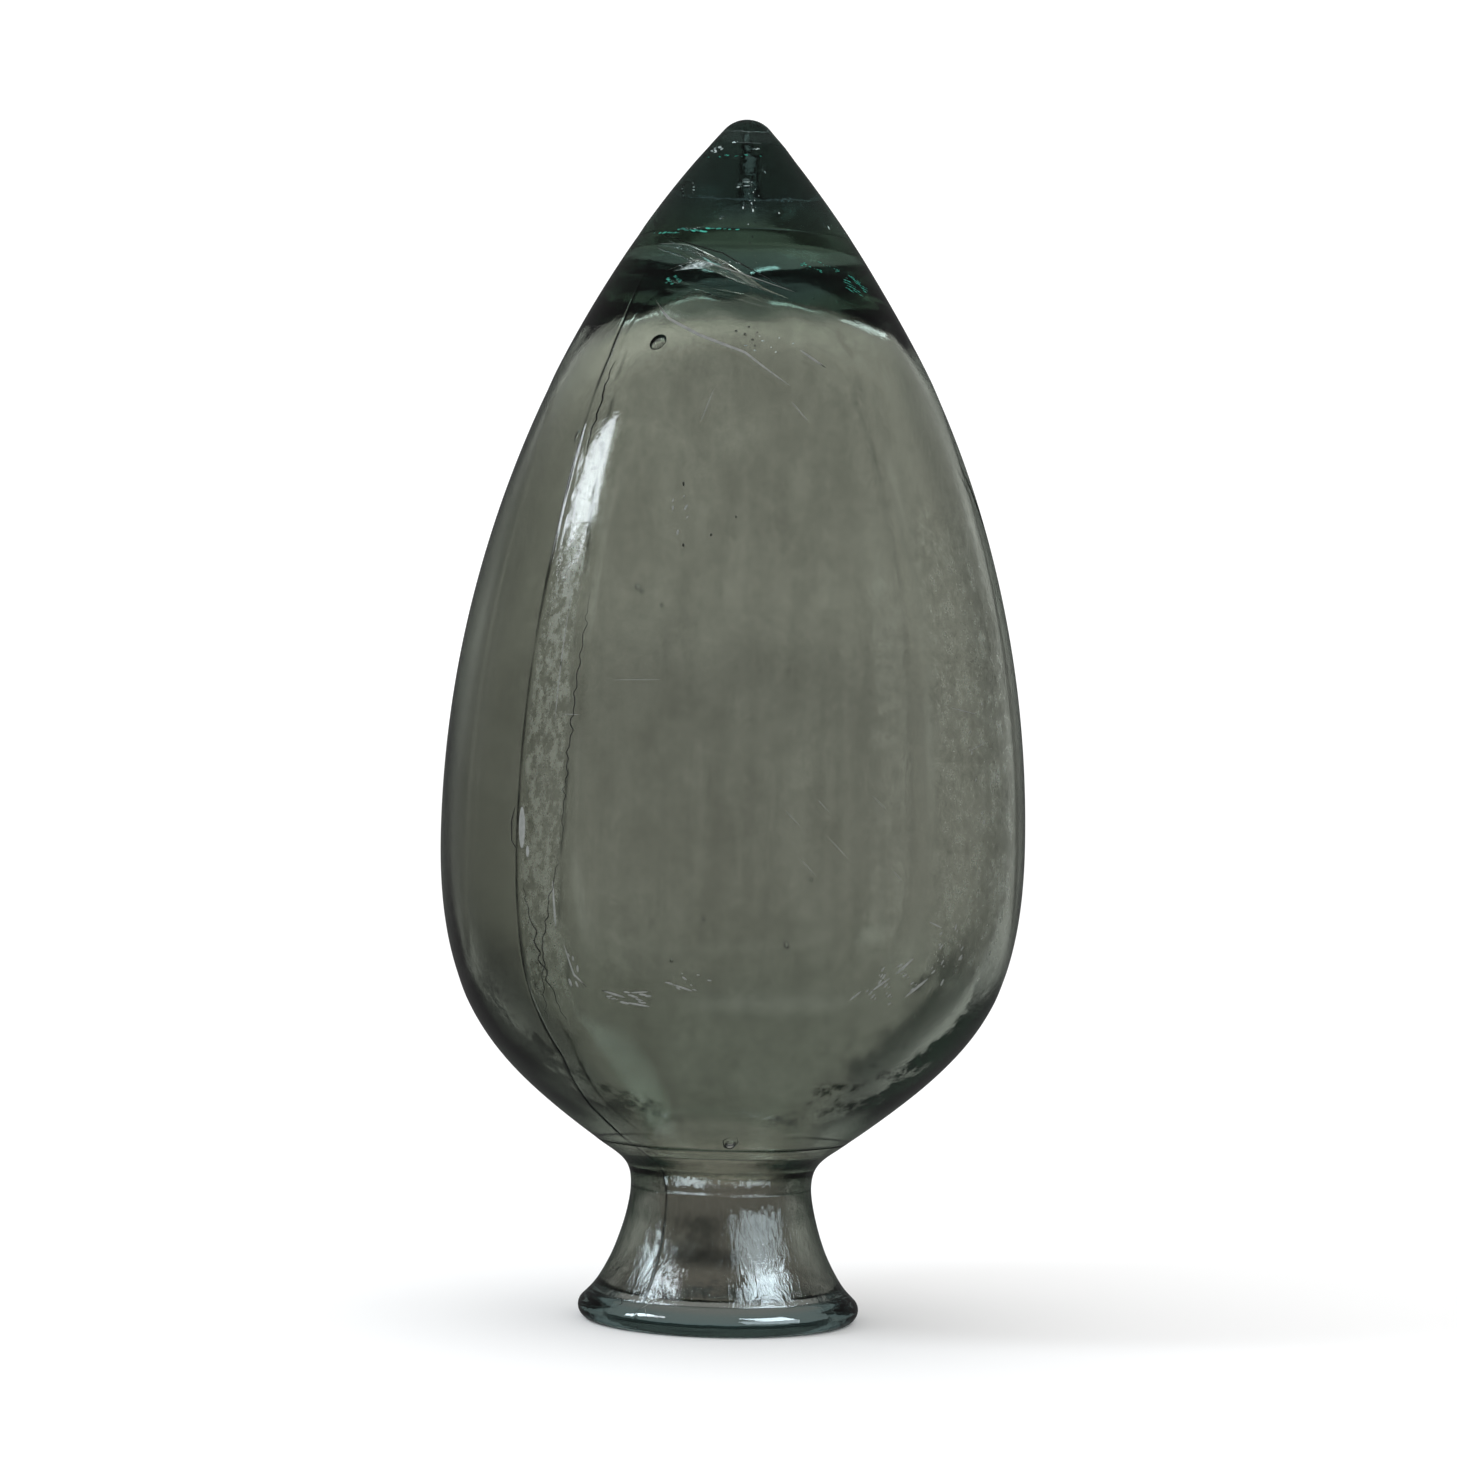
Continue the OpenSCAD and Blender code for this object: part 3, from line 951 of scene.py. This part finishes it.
threads("bulb_scuffs", white, [
    (((-36.0, 141), (-35.7, 126)), 0.02, 0.7, 0.12),
    (((-34.5, 122), (-33.2, 113), (-31, 109)), 0.02, 0.6, 0.12),
    (((-28.5, 108.5), (-24, 106.5)), 0.02, 0.8, 0.12), (((-24, 105), (-19.5, 104)), 0.02, 0.7, 0.12),
    (((-23, 108), (-19.5, 108.5)), 0.02, 0.5, 0.12), (((-15, 111), (-11, 109)), 0.02, 0.6, 0.12),
    (((24, 110), (27, 114)), 0.02, 0.7, 0.12), (((20, 107), (22, 110)), 0.02, 0.5, 0.12),
    (((28, 115), (31, 120)), 0.02, 0.8, 0.12), (((31, 108), (35, 114)), 0.02, 0.9, 0.12),
    (((33, 131), (36, 129)), 0.02, 0.4, 0.12), (((-36, 190), (-32.5, 190)), 0.02, 0.18, 0.12),
    (((-27, 200.5), (-18, 201)), 0.01, 0.12, 0.06), (((37, 195), (44, 193)), 0.02, 0.3, 0.12),
    (((-31, 12), (-35, 9.5), (-42, 5.5)), 0.02, 0.35, 0.12), (((-37, 8), (-33, 4.5)), 0.02, 0.25, 0.12),
    (((41, 182), (46, 185)), 0.02, 0.25, 0.12), (((-37, 187), (-37, 225)), 0.01, 0.35, 0.08),
])
SCRATCHES = ((5.8, 163, 4.4), (8.6, 149, 5), (11.6, 166.5, 3.5), (13.9, 155, 5.5), (21.6, 168, 4),
             (25.5, 146, 2.8))
threads("bulb_scratches", white, [
    (((azimuth, z), (azimuth + length * 0.6, z - length)), 0.02, 0.16, 0.08)
    for azimuth, z, length in SCRATCHES
])

seeds("panel_flakes", white,
      flakes(22, -23, 106.3, 5.5, 2.4, 1.7, -6, 1) + flakes(7, -33.5, 113, 1.6, 7, 2.2, -75, 2)
      + flakes(10, -12, 112, 5, 4, 1.4, -20, 3) + flakes(26, 27.5, 112, 6.5, 7, 1.6, 48, 4)
      + flakes(14, 38, 122, 5, 12, 1.8, 60, 5) + flakes(12, 45, 176, 7, 24, 1.3, 70, 6)
      + flakes(6, -17, 252, 3, 8, 1.6, 70, 7), 8)
# Painted highlights and glints: pale and green flakes and threads on the outer face, not refractions.
seeds("crown_glints", bright,
      flakes(16, -27, 328.8, 7, 1.5, 0.9, -4, 1) + flakes(12, -14, 329.5, 10, 1.0, 0.7, -8, 2)
      + flakes(8, 3, 304, 10, 4, 0.8, 10, 3), 8)
threads("crown_fold_highlight", bright, [
    (((-35 + k, 327.2 + 0.4 * k), (-27 + k, 328 + 0.35 * k), (-19 + 0.6 * k, 328 + 0.2 * k)), 0.02, 0.3, 0.14)
    for k in range(7)
])
seeds("crown_teal_glints", green,
      flakes(60, 45, 325.0, 9, 3.6, 1.1, -28, 4) + flakes(30, -33, 324.2, 5, 1.6, 1.0, 15, 5)
      + flakes(24, 30, 330.0, 16, 1.8, 0.8, -5, 6), 8)
seeds("point_glints", bright,
      [(-4.8, 357.2, 0.02, 1.9, 0.5, 0.2, 0), (-4.2, 355.9, 0.02, 2.2, 0.35, 0.2, 5),
       (-10.5, 355.4, 0.02, 1.2, 0.5, 0.2, 10), (11.9, 360.9, 0.02, 0.4, 1.1, 0.2, 15),
       (-18.4, 344.6, 0.02, 1.0, 0.7, 0.2, 0), (15.4, 347.1, 0.02, 0.6, 0.5, 0.2, 0),
       (48.7, 344.0, 0.02, 0.6, 1.6, 0.2, -10), (-6.1, 348.4, 0.02, 0.45, 1.3, 0.2, 0),
       (-0.2, 347.6, 0.02, 0.5, 1.5, 0.2, 0), (-1.0, 350.0, 0.02, 0.4, 0.5, 0.2, 0),
       (-3.0, 342.8, 0.02, 0.35, 0.4, 0.2, 0), (4.0, 352.6, 0.02, 0.35, 0.4, 0.2, 0)]
      + flakes(12, -52, 355.7, 14, 3.0, 0.8, 0, 7) + flakes(8, 0, 352, 3.5, 7, 0.5, 80, 8), 8)
seeds("point_teal_glints", green,
      flakes(26, -34, 340.9, 28, 0.9, 1.6, -3, 9) + flakes(8, -20, 366.4, 40, 0.5, 1.2, 0, 10), 8)
seeds("cap_glints", bright,
      flakes(24, -48, 369.0, 12, 1.2, 1.1, 4, 11) + flakes(4, 8, 368.9, 9, 0.3, 1.0, 0, 12), 8)

# ---------------------------------------------------------------- stage, light and camera

# Radiance of the white surround: as the floor and the camera see it, as polished faces mirror it,
# and as it shows through the glass, by the sine of elevation.
SKY = 1.16
MIRRORED = 0.07
THROUGH = ((-0.006, 0.90), (0.005, 0.87), (0.014, 0.75), (0.023, 0.96), (0.034, 1.12))

FLOOR_SIZE = 120
LAMP_DISTANCE = 1.5
LAMP_TARGET = Vector((0, 0, 0.22))
DAYLIGHT = (0.86, 0.93, 1.0)
BLUE_DAYLIGHT = (0.76, 0.92, 1.0)


def pale_floor():
    """A pale floor that runs out of sight."""
    bpy.ops.mesh.primitive_plane_add(size=FLOOR_SIZE)
    floor = bpy.context.object
    floor.name = "floor"
    t = Tree("pale_floor")
    t.put(t.shader.inputs["Base Color"], t.mix(t.noise(3), (0.92, 0.92, 0.92), (0.94, 0.94, 0.94)))
    t.shader.inputs["Roughness"].default_value = 0.9
    t.shader.inputs["Specular IOR Level"].default_value = 0.0
    floor.data.materials.append(t.material)
    floor.visible_glossy = False
    floor.visible_transmission = False


def studio_world():
    """A white surround with a soft horizon. Polished faces mirror a dimmer room.

    Inputs 0, 2 and 3 of a Mix node are its factor and the two values that it mixes.
    """
    world = bpy.data.worlds.new("studio")
    bpy.context.scene.world = world
    world.use_nodes = True
    world.cycles.sampling_method = "NONE"
    nodes, links = world.node_tree.nodes, world.node_tree.links

    direction = nodes.new("ShaderNodeSeparateXYZ")
    links.new(nodes.new("ShaderNodeTexCoord").outputs["Generated"], direction.inputs[0])
    place = nodes.new("ShaderNodeMapRange")
    links.new(direction.outputs["Z"], place.inputs["Value"])
    lowest, highest = THROUGH[0][0], THROUGH[-1][0]
    place.inputs["From Min"].default_value = lowest
    place.inputs["From Max"].default_value = highest
    ramp = nodes.new("ShaderNodeValToRGB")
    ramp.color_ramp.interpolation = "EASE"
    links.new(place.outputs["Result"], ramp.inputs["Fac"])
    stops = ramp.color_ramp.elements
    while len(stops) < len(THROUGH):
        stops.new(0.5)
    for stop, (sine, radiance) in zip(stops, THROUGH):
        stop.position = (sine - lowest) / (highest - lowest)
        stop.color = (radiance, radiance, radiance, 1)

    path = nodes.new("ShaderNodeLightPath")
    mirrored = nodes.new("ShaderNodeMath")
    mirrored.operation = "MULTIPLY"
    links.new(path.outputs["Is Glossy Ray"], mirrored.inputs[0])
    links.new(path.outputs["Is Reflection Ray"], mirrored.inputs[1])
    through, seen = nodes.new("ShaderNodeMix"), nodes.new("ShaderNodeMix")
    links.new(path.outputs["Is Transmission Ray"], through.inputs[0])
    through.inputs[2].default_value = SKY
    links.new(ramp.outputs["Color"], through.inputs[3])
    links.new(mirrored.outputs[0], seen.inputs[0])
    links.new(through.outputs[0], seen.inputs[2])
    seen.inputs[3].default_value = MIRRORED
    nodes["Background"].inputs["Color"].default_value = (1, 1, 1, 1)
    links.new(seen.outputs[0], nodes["Background"].inputs["Strength"])


def softbox(name, azimuth, elevation, width, height, radiance, roll=0, only=(), through=False, mirrored=True):
    """A rectangular light that faces the bulb.

    With only, it lights just those objects, and is a little bluer. With through, it also shows
    through the glass. Without mirrored, it does not show in reflections.
    """
    a, e = math.radians(azimuth), math.radians(elevation)
    out = Vector((math.sin(a) * math.cos(e), -math.cos(a) * math.cos(e), math.sin(e)))
    light = bpy.data.lights.new(name, "AREA")
    light.shape = "RECTANGLE"
    light.size, light.size_y = width, height
    light.energy = radiance * math.pi * width * height
    light.color = BLUE_DAYLIGHT if only else DAYLIGHT
    lamp = bpy.data.objects.new(name, light)
    lamp.location = LAMP_TARGET + out * LAMP_DISTANCE
    facing = out.to_track_quat("Z", "Y").to_matrix().to_4x4()
    lamp.rotation_euler = (facing @ Matrix.Rotation(math.radians(roll), 4, "Z")).to_euler()
    lamp.visible_camera = False
    lamp.visible_transmission = through
    lamp.visible_glossy = mirrored
    bpy.context.scene.collection.objects.link(lamp)
    if only:
        lit = bpy.data.collections.new(name + "_lights")
        for lit_name in only:
            lit.objects.link(bpy.data.objects[lit_name])
        lamp.light_linking.receiver_collection = lit


def camera():
    """The photograph's view: level, slightly from the left, and rolled a little."""
    distance, height, azimuth, roll, aside = 1.2923, 0.187, -4.5, 1.45, 0.00127
    a = math.radians(azimuth)
    back, right = Vector((math.sin(a), -math.cos(a), 0)), Vector((math.cos(a), math.sin(a), 0))
    data = bpy.data.cameras.new("camera")
    data.sensor_width = 36
    data.lens = 100.74
    data.clip_start = 0.01
    data.clip_end = 200
    cam = bpy.data.objects.new("camera", data)
    cam.location = back * distance - right * aside + Vector((0, 0, height))
    aim = back.to_track_quat("Z", "Y").to_matrix().to_4x4()
    cam.rotation_euler = (aim @ Matrix.Rotation(math.radians(roll), 4, "Z")).to_euler()
    bpy.context.scene.collection.objects.link(cam)
    bpy.context.scene.camera = cam


FOOT = ("flared_foot_glass", "neck_collar_glass", "foot_rim_glass")
POINT = ("solid_point_glass", "end_cap_glass", "bulb_glass", "point_seeds", "crown_seeds", "crown_airlines")
COLLAR, CAP = ("neck_collar_glass",), ("end_cap_glass",)

pale_floor()
studio_world()
softbox("window_left", -70, 36, 0.44, 0.34, 13, roll=30, through=True)
softbox("foot_left", -84, 30, 0.36, 0.90, 26, only=FOOT)
softbox("foot_front", 44, 18, 1.45, 0.80, 6, only=FOOT)
softbox("foot_right", 54, 45, 0.80, 0.95, 22, only=FOOT)
softbox("neck_left", -45, -36, 1.00, 0.50, 9, only=COLLAR)
softbox("neck_right", 36, -36, 0.50, 0.30, 7, only=COLLAR)
softbox("cap_left", -70, 62, 0.30, 0.30, 20, only=CAP)
softbox("back_left", -158, 55, 0.25, 0.40, 10, only=POINT, through=True, mirrored=False)
softbox("back_right", 140, 50, 0.25, 0.50, 10, only=POINT, through=True, mirrored=False)
camera()

scene = bpy.context.scene
scene.view_settings.view_transform = "Standard"
scene.cycles.max_bounces = 24
scene.cycles.transmission_bounces = 24
scene.cycles.glossy_bounces = 8
